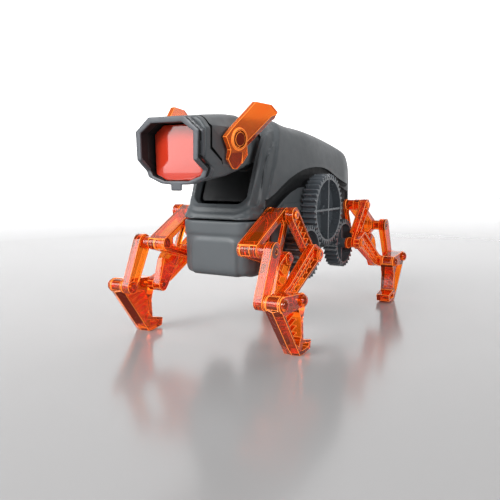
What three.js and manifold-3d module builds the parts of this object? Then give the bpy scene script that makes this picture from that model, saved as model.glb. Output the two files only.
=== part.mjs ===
// A four-legged walking robot from a robotics kit, as a scene graph of separate pieces.
//
// Millimetres, +Z up. The robot faces -Y and its left side is +X. Both sides mirror each
// other in X. The two ends' legs mirror each other in Y about the big gears' axle.
// Each leg is a ten-link walking linkage: a crank on a small gear swings an upper triangle
// and a lower rocker about one hip pivot, and these carry the foot.

import * as THREE from 'three';
import { mergeVertices } from 'three/addons/utils/BufferGeometryUtils.js';
import Module from 'manifold-3d';

const wasm = await Module();
wasm.setup();

// ---------------------------------------------------------------- driving dimensions

const gearModule = 1.25;
const bigTeeth = 40;
const smallTeeth = 28;
const toothPlay = 0.35;
const gearTrainAngle = THREE.MathUtils.degToRad(40.65);
const axleHeight = 82.6;
const gearInnerX = 31;
const gearOuterX = 41.6;
const bigPitchRadius = gearModule * bigTeeth / 2;
const smallPitchRadius = gearModule * smallTeeth / 2;
const centreDistance = bigPitchRadius + smallPitchRadius + 0.05;

// Leg pivots of the front legs as [y, z]: crank centre, crank pin, hip, upper rod pivot,
// elbow, knee, ankle.
const crankCentre = [
  -centreDistance * Math.cos(gearTrainAngle),
  axleHeight - centreDistance * Math.sin(gearTrainAngle),
];
const crankRadius = 8.3;
const crankPin = [crankCentre[0] - crankRadius, crankCentre[1]];
const hip = [-75.6, 55.7];
const shoulder = [-67.5, 83];
const elbow = [-103, 63.7];
const knee = [-91.2, 33.7];
const ankle = [-116.3, 35.5];

const pinRadius = 1.6;
const boreRadius = 1.9;
const loosePinBore = 2.6;
const gap = 0.3;

// Layers of a leg, outwards from the body along X.
const triangleX = [27.7, 41];
const lowerRockerX = [41.3, 47];
const upperRodX = [42, 47.4];
const lowerRodX = [47.7, 52.4];
const outerLinkX = [46.8, 52.5];
const footX = [53, 64];
const crankArmX = [43.3, 44.8];
const knobEndX = 66.6;

// Axles and the gears' hubs.
const axleRadius = 2.5;
const bigHub = { radius: 4, endX: 38, boreX: 36.6 };
const smallHub = { radius: 3.85, endX: 43, boreX: 41.8 };
const bigDish = { radius: 22, floorX: 35, spokeX: 41.2 };
const smallDish = { radius: 15, floorX: 34.5, spokeX: 39 };
const spokeWidth = 1.6;

// The body.
const bodyHalfWidth = 27.2;
const shoulderHalfWidth = 31;
const bearingPlateX = 30.4;
const wall = 2.2;
const splitGap = 0.15;
const bellyHeight = 50;
const chestSeam = 79.4;
const noseY = -138.5;
const visorJog = 8.7;
const bezelDepth = 7.2;

// Moves the whole robot so that the middle of its box lies on the Z axis.
const lengthShift = 8.81;

// ---------------------------------------------------------------- materials

const colours = {
  shell: { color: 0x55585b, roughness: 0.5, metalness: 0 },
  gear: { color: 0x5c6165, roughness: 0.45, metalness: 0 },
  link: { color: 0xe8481a, roughness: 0.2, metalness: 0 },
  lens: { color: 0xd63a22, roughness: 0.15, metalness: 0 },
  steel: { color: 0xb0b2b5, roughness: 0.3, metalness: 0.9 },
  battery: { color: 0x3a6ea0, roughness: 0.4, metalness: 0.2 },
};

// ---------------------------------------------------------------- solid helpers

const sideways = new THREE.Matrix4().makeBasis(
  new THREE.Vector3(0, 1, 0),
  new THREE.Vector3(0, 0, 1),
  new THREE.Vector3(1, 0, 0),
);

const model = new THREE.Group();
model.position.y = lengthShift;

function moved(x, y, z) {
  return new THREE.Matrix4().makeTranslation(x, y, z);
}

// Merges a closed geometry's shared vertices, moves it by each matrix in turn, and makes it a solid.
function toSolid(geometry, ...matrices) {
  geometry.deleteAttribute('normal');
  geometry.deleteAttribute('uv');
  const merged = mergeVertices(geometry, 1e-4);
  matrices.forEach((matrix) => merged.applyMatrix4(matrix));
  const vertProperties = Float32Array.from(merged.attributes.position.array);
  const triVerts = Uint32Array.from(merged.index.array);
  return new wasm.Manifold(new wasm.Mesh({ numProp: 3, vertProperties, triVerts }));
}

function addNode(name, solid, colour) {
  const mesh = solid.getMesh();
  const geometry = new THREE.BufferGeometry();
  geometry.setAttribute('position', new THREE.BufferAttribute(mesh.vertProperties, 3));
  geometry.setIndex(new THREE.BufferAttribute(mesh.triVerts, 1));
  geometry.computeVertexNormals();
  const piece = new THREE.Mesh(geometry, new THREE.MeshStandardMaterial(colours[colour]));
  piece.name = name;
  model.add(piece);
}

function polygon(points) {
  return new THREE.Shape(points.map((p) => new THREE.Vector2(...p)));
}

// A [y, z] outline, or a Shape, pushed along X between two planes.
function slab(outline, xA, xB, curveSegments = 5) {
  const shape = Array.isArray(outline) ? polygon(outline) : outline;
  const depth = Math.abs(xB - xA);
  const geometry = new THREE.ExtrudeGeometry(shape, { depth, bevelEnabled: false, curveSegments });
  return toSolid(geometry, sideways, moved(Math.min(xA, xB), 0, 0));
}

// An [x, z] outline pushed along Y between two planes.
function frontSlab(outline, yA, yB) {
  const geometry = new THREE.ExtrudeGeometry(polygon(outline), { depth: yB - yA, bevelEnabled: false });
  return toSolid(geometry, new THREE.Matrix4().makeRotationX(Math.PI / 2), moved(0, yB, 0));
}

// An [x, y] outline pushed along Z between two planes.
function topSlab(shape, zA, zB) {
  const settings = { depth: zB - zA, bevelEnabled: false, curveSegments: 4 };
  return toSolid(new THREE.ExtrudeGeometry(shape, settings), moved(0, 0, zA));
}

function box(xA, xB, yA, yB, zA, zB) {
  const geometry = new THREE.BoxGeometry(Math.abs(xB - xA), yB - yA, zB - zA);
  return toSolid(geometry, moved((xA + xB) / 2, (yA + yB) / 2, (zA + zB) / 2));
}

// A round bar along X about the point [y, z].
function bar(radius, xA, xB, [y, z], sides = radius < 3 ? 10 : 12) {
  const geometry = new THREE.CylinderGeometry(radius, radius, Math.abs(xB - xA), sides);
  return toSolid(geometry, new THREE.Matrix4().makeRotationZ(Math.PI / 2), moved((xA + xB) / 2, y, z));
}

function cut(solid, ...tools) {
  return tools.reduce((rest, tool) => rest.subtract(tool), solid);
}

function join(solid, ...others) {
  return others.reduce((sum, other) => sum.add(other), solid);
}

// The outline around two circles and their common tangents.
function linkShape([ay, az], ra, [by, bz], rb) {
  const length = Math.hypot(by - ay, bz - az);
  const along = Math.atan2(bz - az, by - ay);
  const lean = Math.acos((ra - rb) / length);
  const shape = new THREE.Shape();
  shape.absarc(ay, az, ra, along + lean, along + 2 * Math.PI - lean, false);
  shape.absarc(by, bz, rb, along - lean, along + lean, false);
  shape.closePath();
  return shape;
}

// ---------------------------------------------------------------- gears

// A spur gear outline about the origin with straight-flanked teeth, one tooth centred on phase.
function gearShape(teeth, phase) {
  const pitch = gearModule * teeth / 2;
  const tip = pitch + gearModule;
  const root = pitch - 1.25 * gearModule;
  const half = (Math.PI * gearModule / 2 - toothPlay) / 2 / pitch;
  const slope = Math.tan(THREE.MathUtils.degToRad(20)) * gearModule / pitch;
  const points = [];
  for (let i = 0; i < teeth; i += 1) {
    const middle = phase + 2 * Math.PI * i / teeth;
    points.push([root, middle - half - slope * 1.25]);
    points.push([tip, middle - half + slope]);
    points.push([tip, middle + half - slope]);
    points.push([root, middle + half + slope * 1.25]);
  }
  return polygon(points.map(([r, a]) => [r * Math.cos(a), r * Math.sin(a)]));
}

// The phase that puts a small gear's gap on the big gear's tooth at the meshing direction.
function smallGearPhase(direction) {
  const pitchAngle = 2 * Math.PI / bigTeeth;
  const steps = Math.round((direction - Math.PI / 2) / pitchAngle);
  const toothOffset = Math.PI / 2 + steps * pitchAngle - direction;
  return direction + Math.PI - toothOffset * bigTeeth / smallTeeth + Math.PI / smallTeeth;
}

// A toothed wheel with a dished outer face, four spokes and a hub, on the +X or -X side.
function dishedGear(side, teeth, phase, centre, dish, hub) {
  const blank = slab(gearShape(teeth, phase), side * gearInnerX, side * gearOuterX);
  const wheel = blank.translate(0, centre[0], centre[1]);
  const hollow = bar(dish.radius, side * dish.floorX, side * (gearOuterX + 1), centre, 24);
  const rootX = dish.floorX - 1;
  const reach = dish.radius + 0.5;
  const half = spokeWidth / 2;
  const spokes = [
    box(side * rootX, side * dish.spokeX, -half, half, -reach, reach),
    box(side * rootX, side * dish.spokeX, -reach, reach, -half, half),
  ].map((spoke) => spoke.translate(0, centre[0], centre[1]));
  const boss = bar(hub.radius, side * rootX, side * hub.endX, centre);
  const bore = bar(axleRadius + gap, side * (gearInnerX - 1), side * hub.boreX, centre);
  return cut(join(cut(wheel, hollow), ...spokes, boss), bore);
}

function buildGears(side, label) {
  const wheel = dishedGear(side, bigTeeth, Math.PI / 2, [0, axleHeight], bigDish, bigHub);
  addNode(`${label}_big_gear`, wheel, 'gear');
  for (const end of [-1, 1]) {
    const direction = end < 0 ? Math.PI + gearTrainAngle : -gearTrainAngle;
    const centre = [-end * crankCentre[0], crankCentre[1]];
    const phase = smallGearPhase(direction);
    const gear = dishedGear(side, smallTeeth, phase, centre, smallDish, smallHub);
    addNode(`${endName(end)}_${label}_crank_gear`, gear, 'gear');
  }
}

function endName(end) {
  return end < 0 ? 'front' : 'rear';
}

// ---------------------------------------------------------------- legs

// One leg's pieces. side is +1 on the robot's left, end is -1 at the front.
function buildLeg(side, end) {
  const label = `${endName(end)}_${side > 0 ? 'left' : 'right'}`;
  const place = ([y, z]) => [-end * y, z];
  const x = (range) => range.map((value) => side * value);
  const at = {
    centre: place(crankCentre),
    pin: place(crankPin),
    hip: place(hip),
    shoulder: place(shoulder),
    elbow: place(elbow),
    knee: place(knee),
    ankle: place(ankle),
  };
  addNode(`${label}_crank`, crank(at, x, side), 'link');
  addNode(`${label}_upper_triangle`, upperTriangle(at, x, side, place), 'link');
  addNode(`${label}_lower_rocker`, lowerRocker(at, x, place), 'link');
  addNode(`${label}_upper_rod`, upperRod(at, x, side), 'link');
  addNode(`${label}_lower_rod`, lowerRod(at, x, side, place), 'link');
  addNode(`${label}_outer_link`, outerLink(at, x, side), 'link');
  addNode(`${label}_foot`, foot(at, x, side, place), 'link');
  addNode(`${label}_knee_pin`, knobPin(at.knee, side, 40.4), 'link');
  addNode(`${label}_ankle_pin`, knobPin(at.ankle, side, 45.6), 'link');
}

// The crank: a thin arm on the gear's hub, with the pin that drives both rods.
function crank(at, x, side) {
  const arm = slab(linkShape(at.centre, 4.2, at.pin, 3.4), ...x(crankArmX));
  const pin = bar(pinRadius, side * crankArmX[0], side * 54, at.pin);
  const head = bar(3.6, side * 52.7, side * 54, at.pin);
  return join(arm, pin, head);
}

// The upper triangle: two open side plates, a flat top web, a lower web, three hubs, two pins.
function upperTriangle(at, x, side, place) {
  const [inner, outer] = triangleX;
  const corners = [at.hip, at.shoulder, at.elbow];
  const rim = [[-77.5, 51.8], [-63.4, 81.4], [-69.4, 87], [-106.4, 67.2], [-105.2, 59.9]].map(place);
  const window = [[-80.2, 57.4], [-71.2, 76.6], [-73.6, 80], [-97.4, 67.2], [-97.4, 62.2]].map(place);
  const plates = [
    slab(rim, side * inner, side * (inner + 2)),
    slab(rim, side * (outer - 2), side * outer),
  ];
  const topWeb = [[-69.4, 87], [-106.4, 67.2], [-105.6, 65.4], [-68.6, 85.2]].map(place);
  const lowerWeb = [[-105.2, 59.9], [-77.5, 51.8], [-77, 53.7], [-104.7, 61.8]].map(place);
  const webs = [topWeb, lowerWeb].map((outline) => slab(outline, ...x(triangleX)));
  const hubs = corners.map((corner) => bar(4, ...x(triangleX), corner));
  const pins = [
    bar(pinRadius, side * (outer - 1), side * 48.9, at.shoulder),
    bar(2.5, side * 47.8, side * 48.9, at.shoulder),
    bar(pinRadius, side * (outer - 1), side * 52.9, at.elbow),
  ];
  const hole = bar(boreRadius, side * (inner - 1), side * (outer + 1), at.hip);
  const body = cut(join(plates[0], plates[1]), slab(window, side * (inner - 1), side * (outer + 1)));
  return cut(join(body, ...webs, ...hubs, ...pins), hole);
}

// The lower rocker: a wide plate from hip to knee with a straight, nearly upright front edge.
function lowerRocker(at, x, place) {
  const outline = [
    [-92, 29.2], [-95.3, 31.6], [-95.8, 34.5], [-90.2, 51], [-87.6, 54.4], [-79, 59.2], [-75.6, 60.3],
    [-72.2, 58.8], [-71, 55.2], [-72.4, 52], [-86.8, 31.8], [-89.2, 29.4],
  ].map(place);
  const body = slab(outline, ...x(lowerRockerX));
  const holes = [at.hip, at.knee].map((pivot) => bar(boreRadius, ...x([40, 48]), pivot));
  return cut(body, ...holes);
}

// The upper rod: a channel open outwards, thinned at its crank end to pass over the crank.
function upperRod(at, x, side) {
  const body = slab(linkShape(at.pin, 4.4, at.shoulder, 4.8), ...x(upperRodX));
  const relief = bar(7.5, side * 41, side * 45.1, at.pin, 12);
  const loose = bar(loosePinBore, side * 41, side * 48, at.pin);
  const hole = bar(boreRadius, side * 41, side * 48, at.shoulder);
  return cut(body, relief, loose, hole);
}

// The lower rod: a bar from the knee that widens and lifts towards the crank pin.
function lowerRod(at, x, side, place) {
  const outline = [
    [-92.8, 29.4], [-95.6, 32.6], [-95.2, 36.2], [-92.6, 38.2], [-85, 40.6], [-49.6, 62.4], [-46.6, 62.4],
    [-36, 57.4], [-35.2, 54.6], [-36.2, 51.4], [-39, 49.6], [-42, 49.8], [-74, 33.6], [-88.6, 29.6],
  ].map(place);
  const body = slab(outline, ...x(lowerRodX));
  const loose = bar(loosePinBore, side * 47, side * 53, at.pin);
  const hole = bar(boreRadius, side * 47, side * 53, at.knee);
  return cut(body, loose, hole);
}

// The outer link: a deep beam with a boss that reaches in to the triangle's elbow.
function outerLink(at, x, side) {
  const beam = slab(linkShape(at.elbow, 5.6, at.ankle, 4.6), ...x(outerLinkX));
  const boss = bar(4, side * lowerRockerX[0], side * outerLinkX[1], at.elbow);
  const holes = [at.elbow, at.ankle].map((pivot) => bar(boreRadius, side * 40, side * 54, pivot));
  return cut(join(beam, boss), ...holes);
}

// The foot: a hollow-sided lower leg between knee and ankle, with a flat sole and a toe.
function foot(at, x, side, place) {
  const profile = [
    [-120.6, 31.5], [-101, 6], [-95, 0], [-89, 0], [-79.5, 1.2], [-78.4, 6.7],
    [-89.5, 9.3], [-90.3, 22], [-87, 31.5], [-91.2, 38], [-116.3, 40],
  ].map(place);
  const pocket = [[-112, 29], [-99, 9.4], [-93, 11.5], [-93.6, 23], [-97, 29.6]].map(place);
  const hubs = [at.knee, at.ankle].map((pivot) => bar(4.6, ...x(footX), pivot));
  const hollow = slab(pocket, side * (footX[0] + 2.5), side * (footX[1] + 1));
  const holes = [at.knee, at.ankle].map((pivot) => bar(boreRadius, side * 52, side * 65, pivot));
  return cut(join(slab(profile, ...x(footX)), ...hubs), hollow, ...holes);
}

// A pin with a domed knob outside and a small head at its inner end.
function knobPin(pivot, side, innerX) {
  const shaft = bar(pinRadius, side * innerX, side * 65, pivot);
  const head = bar(2.6, side * innerX, side * (innerX + 0.7), pivot);
  const rim = bar(3.5, side * 64.3, side * 65.4, pivot);
  const cap = bar(2.4, side * 65.3, side * knobEndX, pivot);
  return join(shaft, head, rim, cap);
}

// ---------------------------------------------------------------- axles and drive

const driveModule = 1;
const driveTeeth = 36;
const pinionTeeth = 12;
const driveX = [4, 10];
const pinionAngle = THREE.MathUtils.degToRad(40);
const pinionDistance = driveModule * (driveTeeth + pinionTeeth) / 2 + 0.1;
const pinionCentre = [
  pinionDistance * Math.cos(pinionAngle),
  axleHeight + pinionDistance * Math.sin(pinionAngle),
];

// A fine gear for the drive inside the body, scaled from the outline of the large teeth.
function driveWheel(teeth, phase, centre) {
  const ratio = driveModule / gearModule;
  const wheel = slab(gearShape(teeth, phase), ...driveX);
  return wheel.scale([1, ratio, ratio]).translate(0, centre[0], centre[1]);
}

function buildDrive() {
  const axleCentre = [0, axleHeight];
  const shaft = bar(axleRadius, -36, 36, axleCentre);
  const wheel = driveWheel(driveTeeth, pinionAngle, axleCentre);
  addNode('main_axle', join(shaft, wheel), 'gear');
  for (const end of [-1, 1]) {
    const centre = [-end * crankCentre[0], crankCentre[1]];
    addNode(`${endName(end)}_crank_axle`, bar(axleRadius, -41, 41, centre), 'steel');
    const hipCentre = [-end * hip[0], hip[1]];
    const ends = [-1, 1].map((side) => bar(3, side * 47.4, side * 48.6, hipCentre));
    addNode(`${endName(end)}_hip_shaft`, join(bar(pinRadius, -48.6, 48.6, hipCentre), ...ends), 'link');
  }
  const pinionPhase = pinionAngle + Math.PI + Math.PI / pinionTeeth;
  const pinion = driveWheel(pinionTeeth, pinionPhase, pinionCentre);
  addNode('motor_pinion', cut(pinion, bar(1.3, 3, 8.5, pinionCentre, 10)), 'gear');
  const can = bar(10, -24, 1.5, pinionCentre, 16);
  const motorShaft = bar(1, 1, 8.2, pinionCentre, 10);
  addNode('motor', join(can, motorShaft), 'steel');
  const cell = new THREE.CylinderGeometry(7.1, 7.1, 50, 18);
  addNode('battery_cell', toSolid(cell, moved(-12, 0, 60)), 'battery');
}

// ---------------------------------------------------------------- body

// The robot's side outline without its head: chest, leaning collar, hump and rump.
const bodySide = [
  [-60, 43], [-85, 43], [-91, 47], [-93.5, 55], [-93.5, 79], [-91.5, 87], [-65.5, 147.5],
  [-61, 150.5], [-47, 149.5], [-32, 143], [0, 142], [25, 140.5], [46, 137], [66, 130.5],
  [80, 119], [86, 103], [88, 84], [87, 66], [80, 54], [68, bellyHeight], [-48, bellyHeight],
];
const bodySideMiddle = [0, 96];

// The upper side outline that stands out over the gears, down to the arch.
const shoulderSide = [
  [-88, 96], [-66, 148], [-47, 149], [-32, 142], [0, 141.5], [46, 136.5], [66, 130], [79, 118.5],
  [84, 103], [72, 100], [58, 104], [36, 111], [14, 113.6], [-4, 113.4], [-20, 110.6], [-34, 102],
  [-45, 95.5], [-58, 90.5], [-72, 93],
];

const shoulderSideMiddle = [0, 118];

// Draws an outline in towards its middle by about the inset.
function shrink(points, [cy, cz], inset) {
  const factor = (value, centre, reach) => centre + (value - centre) * (1 - inset / reach);
  return points.map(([y, z]) => [factor(y, cy, 90), factor(z, cz, 50)]);
}

// A rectangle on the top plane with round corners.
function planShape(halfWidth, yA, yB, radius) {
  const shape = new THREE.Shape();
  shape.absarc(halfWidth - radius, yB - radius, radius, 0, Math.PI / 2, false);
  shape.absarc(radius - halfWidth, yB - radius, radius, Math.PI / 2, Math.PI, false);
  shape.absarc(radius - halfWidth, yA + radius, radius, Math.PI, 1.5 * Math.PI, false);
  shape.absarc(halfWidth - radius, yA + radius, radius, 1.5 * Math.PI, 2 * Math.PI, false);
  shape.closePath();
  return shape;
}

// The front outline, an arch over the back.
function archOutline(inset) {
  const half = shoulderHalfWidth - inset;
  const top = 151 - inset;
  const low = 42 + inset;
  return [
    [-half, low], [half, low], [half, 118], [half - 3, 128], [half - 9, 137.5], [half - 18, top - 5],
    [7, top], [-7, top], [18 - half, top - 5], [9 - half, 137.5], [3 - half, 128], [-half, 118],
  ];
}

function bodyHull(inset) {
  const core = slab(shrink(bodySide, bodySideMiddle, inset), -bodyHalfWidth + inset, bodyHalfWidth - inset);
  const sideHalf = shoulderHalfWidth - inset;
  const sides = slab(shrink(shoulderSide, shoulderSideMiddle, inset * 0.6), -sideHalf, sideHalf);
  const plan = topSlab(planShape(shoulderHalfWidth - inset, -94 + inset, 89 - inset, 13), 40, 155);
  const arch = frontSlab(archOutline(inset), -100, 95);
  return join(core, sides).intersect(plan).intersect(arch);
}

function buildBody() {
  const outer = bodyHull(0);
  const axleCentre = [0, axleHeight];
  const plateX = [bodyHalfWidth - 1, bearingPlateX];
  const bearingPlates = [-1, 1].map((side) => bar(23, ...plateX.map((x) => side * x), axleCentre, 28));
  const skin = cut(join(outer, ...bearingPlates), bodyHull(wall));
  const neckHole = frontSlab(neckOutline(0), -100, -50);
  const bores = [
    bar(axleRadius + gap, -40, 40, [0, axleHeight]),
    bar(axleRadius + gap, -40, 40, crankCentre),
    bar(axleRadius + gap, -40, 40, [-crankCentre[0], crankCentre[1]]),
    bar(pinRadius + gap, -40, 40, hip),
    bar(pinRadius + gap, -40, 40, [-hip[0], hip[1]]),
  ];
  const shell = cut(skin, neckHole, ...bores);
  const chest = box(-40, 40, -100, -62, 30, chestSeam);
  addNode('chest_cover', shell.intersect(chest), 'shell');
  const door = box(-21, -3, -28, 28, bellyHeight - 1, bellyHeight + 4);
  const doorOpening = box(-21.3, -2.7, -28.3, 28.3, bellyHeight - 5, bellyHeight + 4);
  addNode('battery_door', shell.intersect(door), 'shell');
  const switchSlot = box(9.2, 14.8, -3.3, 7.3, bellyHeight - 5, bellyHeight + 4);
  const upper = cut(shell, box(-40, 40, -100, -61.7, 30, chestSeam + gap), doorOpening, switchSlot);
  addNode('left_body_shell', upper.intersect(box(splitGap, 40, -100, 100, 30, 160)), 'shell');
  addNode('right_body_shell', upper.intersect(box(-40, -splitGap, -100, 100, 30, 160)), 'shell');
  const slider = join(
    box(9.5, 14.5, -3, 3, bellyHeight - 1.4, bellyHeight + 2.5),
    box(8, 16, -3, 3, bellyHeight + 2.8, bellyHeight + 4.4),
    box(9.5, 14.5, -3, 3, bellyHeight + 2.4, bellyHeight + 3),
  );
  addNode('power_switch', slider, 'shell');
}

// ---------------------------------------------------------------- head

const neckHalfWidth = 17.5;

// The opening in the collar, with its corners cut.
function neckOutline(inset) {
  const half = 20.5 - inset;
  const low = 92 + inset;
  const high = 143.5 - inset;
  return [
    [-half + 5, low], [half - 5, low], [half, low + 5], [half, high - 9], [half - 9, high],
    [9 - half, high], [-half, high - 9], [-half, low + 5],
  ];
}

// The visor's face outline as half of a symmetric polygon, from the top middle down.
const visorOuter = [
  [12.6, 141.4], [22.4, 133.4], [21.6, 116.5], [22.2, 111.5], [20.4, 107.2], [11, 103.4], [3.7, 102.8],
  [3.7, 99.3],
];
const visorInner = [[10.6, 137.5], [18.2, 132.2], [17.9, 117], [19, 111.3], [17, 107.8], [8.5, 104.9]];

function mirrored(half) {
  const left = half.map(([x, z]) => [-x, z]).reverse();
  return [...half, ...left];
}

// The stepped side outline of the visor: its lower third sits back by visorJog.
function visorSide(front, back) {
  return [
    [noseY + front, 146], [noseY + front, 117],
    [noseY + visorJog + front, 111], [noseY + visorJog + front, 95],
    [noseY + visorJog + back, 95], [noseY + visorJog + back, 111.8],
    [noseY + back, 117.8], [noseY + back, 146],
  ];
}

function buildHead() {
  const ring = frontSlab(mirrored(visorOuter), noseY - 1, -110);
  const opening = frontSlab(mirrored(visorInner), noseY - 2, -100);
  addNode('visor_bezel', cut(ring, opening).intersect(slab(visorSide(0, bezelDepth), -30, 30)), 'shell');

  const lensOutline = mirrored([[10.2, 137.1], [17.8, 132], [17.5, 117], [17.3, 109], [8.3, 105.3]]);
  addNode('visor_lens', frontSlab(lensOutline, -127.6, -125.2), 'lens');

  const headSide = [
    [noseY + bezelDepth + gap, 141.4], [noseY + bezelDepth + gap, 118.1],
    [noseY + visorJog + bezelDepth + gap, 112.1], [noseY + visorJog + bezelDepth + gap, 103.2],
    [-106, 107.4], [-86, 112.6], [-81, 117], [-77.5, 124], [-78, 136], [-86, 144.6], [-97, 145.2],
  ];
  const headFront = mirrored([[13.5, 147], [22.3, 136.4], [21.9, 116], [20.3, 107], [10.5, 102]]);
  const blank = slab(headSide, -22.3, 22.3).intersect(frontSlab(headFront, -140, -60));
  const hollowOutline = mirrored([[11.2, 137.9], [18.8, 132.6], [18.5, 117], [18.4, 112.8], [16, 110.5]]);
  const hollow = frontSlab(hollowOutline, -140, -92);
  const seatOutline = mirrored([[10.6, 137.5], [18.2, 132.4], [17.9, 108.6], [8.6, 104.9]]);
  const lensSeat = frontSlab(seatOutline, -140, -120);
  const neckSide = [[-78.5, 95], [-56, 95], [-56, 138], [-60, 138], [-66, 120]];
  const neck = slab(neckSide, -neckHalfWidth, neckHalfWidth);
  const neckRoot = frontSlab(mirrored([[12, 134], [16, 130], [16, 120], [12, 116]]), -80, -56);
  const pegs = [-1, 1].map(earPeg);
  const shell = join(cut(blank, hollow, lensSeat), neckRoot, neck, ...pegs);
  addNode('head_shell', shell, 'shell');
}

// ---------------------------------------------------------------- ears

// The ear's pivot on its outer face, on the robot's left, and the pivot's outward axis.
const earPivot = new THREE.Vector3(27.8, -104.3, 129.5);
const earThickness = 3;
const earAxis = new THREE.Vector3(0.977, -0.193, -0.083).normalize();

// Stands a solid drawn about the X axis on the ear's tilted axis, on either side.
function earPart(geometry, layout, side) {
  const axis = new THREE.Vector3(side * earAxis.x, earAxis.y, earAxis.z);
  const up = new THREE.Vector3(0, 0, 1).addScaledVector(axis, -axis.z).normalize();
  const along = new THREE.Vector3().crossVectors(up, axis.clone().multiplyScalar(side));
  const outward = axis.clone().multiplyScalar(side);
  const frame = new THREE.Matrix4().makeBasis(outward, along, up);
  frame.setPosition(side * earPivot.x, earPivot.y, earPivot.z);
  return toSolid(geometry, layout, frame);
}

// The head's peg: a collar against the head and a journal through the ear.
function earPeg(side) {
  const collar = earThickness + gap;
  const profile = [[0, 10], [6, 10], [6, collar], [3.3, collar], [3.3, 0.4], [0, 0.4]];
  const points = profile.map(([radius, depth]) => new THREE.Vector2(radius, -depth));
  const geometry = new THREE.LatheGeometry(points, 14);
  return earPart(geometry, new THREE.Matrix4().makeRotationZ(-side * Math.PI / 2), side);
}

// The ear: a flat plate with a pivot hole, a long tip and a short tail.
function ear(side) {
  const outline = [
    [13.3, 22.7], [28.1, 22], [34.5, 18], [34.3, 13.7], [30.8, 11.9], [9.4, -4.5], [8.7, -9.1],
    [1.4, -17.8], [-1.4, -17.8], [-7.3, -12], [-6.5, -6.5], [-11, 1], [-6.6, 5.6],
  ];
  const geometry = new THREE.ExtrudeGeometry(polygon(outline), { depth: earThickness, bevelEnabled: false });
  const plate = earPart(geometry, moved(side > 0 ? -earThickness : 0, 0, 0).multiply(sideways), side);
  const drill = new THREE.CylinderGeometry(3.6, 3.6, 12, 14);
  return cut(plate, earPart(drill, new THREE.Matrix4().makeRotationZ(Math.PI / 2), side));
}

function buildEars() {
  addNode('left_ear', ear(1), 'link');
  addNode('right_ear', ear(-1), 'link');
}

// ---------------------------------------------------------------- the robot

buildBody();
buildHead();
buildEars();
buildDrive();
buildGears(1, 'left');
buildGears(-1, 'right');
for (const side of [1, -1]) {
  for (const end of [-1, 1]) {
    buildLeg(side, end);
  }
}

const robot = new THREE.Group();
robot.add(model);

export default robot;
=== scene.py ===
"""The look of a four-legged walking robot kit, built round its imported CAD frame.

Shapes are worked out in millimetres in the model's own frame, whose Y is zero at the
main axle. The robot faces -Y and its left is +X.
"""

import math

import bmesh
import bpy
import numpy as np
from mathutils import Matrix, Vector
from mathutils.bvhtree import BVHTree


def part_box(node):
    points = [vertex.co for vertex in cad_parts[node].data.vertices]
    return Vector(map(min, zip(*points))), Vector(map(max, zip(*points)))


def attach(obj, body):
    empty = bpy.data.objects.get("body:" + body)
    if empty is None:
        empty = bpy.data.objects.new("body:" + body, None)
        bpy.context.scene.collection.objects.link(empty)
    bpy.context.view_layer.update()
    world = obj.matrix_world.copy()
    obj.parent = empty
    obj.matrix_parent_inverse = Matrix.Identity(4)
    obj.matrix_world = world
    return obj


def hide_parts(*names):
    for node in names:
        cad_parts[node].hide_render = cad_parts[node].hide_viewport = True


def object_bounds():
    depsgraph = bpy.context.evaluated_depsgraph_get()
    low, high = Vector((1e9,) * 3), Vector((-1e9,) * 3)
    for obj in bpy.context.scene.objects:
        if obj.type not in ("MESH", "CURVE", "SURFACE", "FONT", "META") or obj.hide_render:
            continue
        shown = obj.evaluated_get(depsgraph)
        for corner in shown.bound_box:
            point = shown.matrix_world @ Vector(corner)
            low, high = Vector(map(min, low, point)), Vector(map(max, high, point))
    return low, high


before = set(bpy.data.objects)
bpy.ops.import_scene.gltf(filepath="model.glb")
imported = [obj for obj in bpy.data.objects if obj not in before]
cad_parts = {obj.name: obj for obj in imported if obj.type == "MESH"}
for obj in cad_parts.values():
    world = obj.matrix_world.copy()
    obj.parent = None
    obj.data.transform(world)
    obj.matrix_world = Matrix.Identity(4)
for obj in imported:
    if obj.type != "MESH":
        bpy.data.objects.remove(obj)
cad_low, cad_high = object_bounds()

MM = 0.001
WELD_DISTANCE = 0.000004
SHARP_ANGLE = math.radians(28)
COLLECTION = bpy.context.scene.collection


# ------------------------------------------------------------------ places from the frame

def middle(node):
    """The (y, z) middle of a CAD node's box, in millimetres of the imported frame."""
    low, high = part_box(node)
    return ((low.y + high.y) / 2 / MM, (low.z + high.z) / 2 / MM)


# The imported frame's Y of the main axle, which is Y zero in the model's own frame.
SHIFT = middle("main_axle")[0]
AXLE_HEIGHT = middle("main_axle")[1]


def pivot(node):
    """The (y, z) middle of a CAD node's box, in the model's own frame."""
    y, z = middle(node)
    return (y - SHIFT, z)


CRANK = pivot("front_crank_axle")
HIP = pivot("front_hip_shaft")
KNEE = pivot("front_left_knee_pin")
ANKLE = pivot("front_left_ankle_pin")


# ------------------------------------------------------------------ camera and stage

CAMERA_PLACE = (0.21733, -0.40589, 0.10988)
CAMERA_AZIMUTH = math.radians(30.41)
CAMERA_ELEVATION = math.radians(7.29)
CAMERA_ROLL = math.radians(-0.07)
CAMERA_LENS = 43.617
BACKDROP_DISTANCE = 2.2
FLOOR_GAP = 0.0002


def make_camera():
    data = bpy.data.cameras.new("camera")
    data.lens = CAMERA_LENS
    data.sensor_width = 36
    data.clip_start = 0.01
    data.clip_end = 50
    camera = bpy.data.objects.new("camera", data)
    COLLECTION.objects.link(camera)
    camera.location = CAMERA_PLACE
    across = math.cos(CAMERA_ELEVATION)
    back = Vector((
        math.sin(CAMERA_AZIMUTH) * across,
        -math.cos(CAMERA_AZIMUTH) * across,
        math.sin(CAMERA_ELEVATION),
    ))
    camera.rotation_mode = "QUATERNION"
    turn = (-back).to_track_quat("-Z", "Y")
    camera.rotation_quaternion = turn @ Matrix.Rotation(CAMERA_ROLL, 3, "Z").to_quaternion()
    bpy.context.scene.camera = camera


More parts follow.
